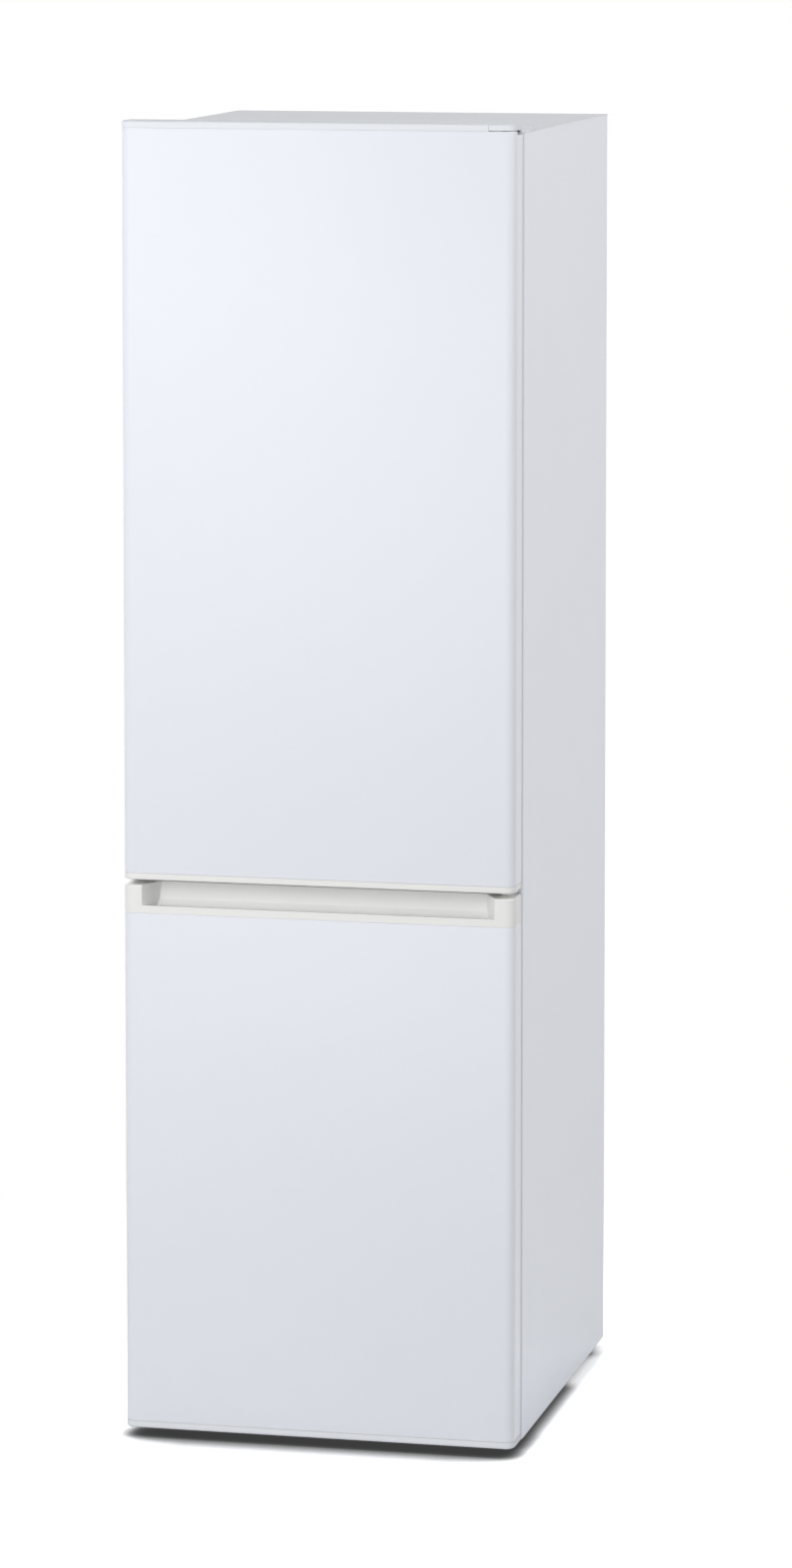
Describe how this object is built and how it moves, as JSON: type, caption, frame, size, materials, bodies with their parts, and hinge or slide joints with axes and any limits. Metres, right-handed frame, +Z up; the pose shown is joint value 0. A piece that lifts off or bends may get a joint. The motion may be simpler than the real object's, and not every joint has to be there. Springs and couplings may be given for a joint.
{
  "type": "bottom freezer refrigerator",
  "caption": "Slim upright fridge-freezer with a tall upper fridge door, a shorter lower freezer door with a finger scoop, glass shelves, drawers and a rear compressor nook.",
  "frame": {"origin": "centre of the bounding box's bottom, on the floor", "axes": "+X to the right seen from the front, +Y to the back, +Z up; the doors face -Y"},
  "size_m": [0.48, 0.568, 1.592],
  "materials": {
    "white_steel": "satin",
    "rear_steel": "satin",
    "zinc_steel": "satin",
    "black_steel": "satin",
    "white_plastic": "satin",
    "liner_plastic": "gloss",
    "foam": "matte",
    "gasket": "matte",
    "nylon": "matte",
    "dark_plastic": "matte",
    "glass": "polished",
    "clear_plastic": "gloss",
    "lens": "satin",
    "copper": "satin",
    "aluminium": "satin",
    "rubber": "matte"
  },
  "bodies": {
    "cabinet": {"side_panel_left": "white_steel", "side_panel_right": "white_steel", "top_panel": "white_steel", "rear_panel": "rear_steel", "base_plate": "white_steel", "nook_panel": "zinc_steel", "divider_rail": "white_steel", "fridge_liner": "liner_plastic", "freezer_liner": "liner_plastic", "cabinet_foam": "foam", "top_hinge": "zinc_steel", "top_hinge_cover": "white_plastic", "middle_hinge": "zinc_steel", "bottom_hinge": "zinc_steel", "hinge_screws": "zinc_steel", "condenser_coil": "black_steel", "compressor_deck": "zinc_steel", "roller_axles": "zinc_steel", "compressor": "black_steel", "compressor_mounts": "rubber", "terminal_cover": "dark_plastic", "drip_tray": "dark_plastic", "refrigerant_pipes": "copper", "glass_shelves": "glass", "shelf_trims": "white_plastic", "control_housing": "white_plastic", "lamp_lens": "lens", "fridge_duct": "white_plastic", "freezer_duct": "white_plastic", "fan_motor": "dark_plastic", "evaporator": "aluminium"},
    "upper_door": {"upper_door_skin": "white_steel", "upper_door_top_cap": "white_plastic", "upper_door_corner_cap": "white_plastic", "upper_door_bottom_cap": "white_plastic", "upper_door_foam": "foam", "upper_door_liner": "liner_plastic", "upper_door_gasket": "gasket", "upper_door_bushes": "nylon", "door_bin_top": "clear_plastic", "door_bin_middle": "clear_plastic", "bottle_rack": "clear_plastic"},
    "lower_door": {"lower_door_skin": "white_steel", "lower_door_top_cap": "white_plastic", "lower_door_bottom_cap": "white_plastic", "lower_door_foam": "foam", "lower_door_liner": "liner_plastic", "lower_door_gasket": "gasket", "lower_door_bushes": "nylon"},
    "crisper": {"crisper_drawer": "clear_plastic"},
    "freezer_top": {"freezer_drawer_top": "clear_plastic"},
    "freezer_middle": {"freezer_drawer_middle": "clear_plastic"},
    "freezer_bottom": {"freezer_drawer_bottom": "clear_plastic"},
    "knob": {"control_knob": "white_plastic"},
    "fan": {"fan_rotor": "nylon"},
    "left_foot": {"foot_left": "dark_plastic"},
    "right_foot": {"foot_right": "dark_plastic"},
    "left_roller": {"roller_left": "nylon"},
    "right_roller": {"roller_right": "nylon"}
  },
  "joints": [
    {"name": "upper_door_hinge", "type": "hinge", "parent": "cabinet", "child": "upper_door", "pos_m": [0.226, -0.26, 1.137], "axis": [0, 0, 1], "range_deg": [0, 120]},
    {"name": "lower_door_hinge", "type": "hinge", "parent": "cabinet", "child": "lower_door", "pos_m": [0.226, -0.26, 0.344], "axis": [0, 0, 1], "range_deg": [0, 120]},
    {"name": "crisper_slide", "type": "slide", "parent": "cabinet", "child": "crisper", "axis": [0, -1, 0], "range_m": [0, 0.2041]},
    {"name": "freezer_top_slide", "type": "slide", "parent": "cabinet", "child": "freezer_top", "axis": [0, -1, 0], "range_m": [0, 0.1261]},
    {"name": "freezer_middle_slide", "type": "slide", "parent": "cabinet", "child": "freezer_middle", "axis": [0, -1, 0], "range_m": [0, 0.0961]},
    {"name": "freezer_bottom_slide", "type": "slide", "parent": "cabinet", "child": "freezer_bottom", "axis": [0, -1, 0], "range_m": [0, 0.0661]},
    {"name": "control_knob_turn", "type": "hinge", "parent": "cabinet", "child": "knob", "pos_m": [0.062, -0.062, 1.509], "axis": [0, -1, 0], "range_deg": [-135, 135]},
    {"name": "fan_spin", "type": "hinge", "parent": "cabinet", "child": "fan", "pos_m": [0, 0.146, 0.566], "axis": [0, -1, 0], "continuous": true},
    {"name": "left_roller_spin", "type": "hinge", "parent": "cabinet", "child": "left_roller", "pos_m": [-0.215, 0.236, 0.014], "axis": [1, 0, 0], "continuous": true},
    {"name": "right_roller_spin", "type": "hinge", "parent": "cabinet", "child": "right_roller", "pos_m": [0.215, 0.236, 0.014], "axis": [1, 0, 0], "continuous": true},
    {"name": "left_foot_turn", "type": "hinge", "parent": "cabinet", "child": "left_foot", "pos_m": [-0.178, -0.2, 0.02], "axis": [0, 0, 1], "range_deg": [-180, 180]},
    {"name": "right_foot_turn", "type": "hinge", "parent": "cabinet", "child": "right_foot", "pos_m": [0.178, -0.2, 0.02], "axis": [0, 0, 1], "range_deg": [-180, 180]}
  ],
  "couplings": [
    {"joint": "crisper_slide", "follows": "upper_door_hinge", "m_per_rad": 0.097403},
    {"joint": "freezer_top_slide", "follows": "lower_door_hinge", "m_per_rad": 0.060161},
    {"joint": "freezer_middle_slide", "follows": "lower_door_hinge", "m_per_rad": 0.045837},
    {"joint": "freezer_bottom_slide", "follows": "lower_door_hinge", "m_per_rad": 0.031513}
  ]
}
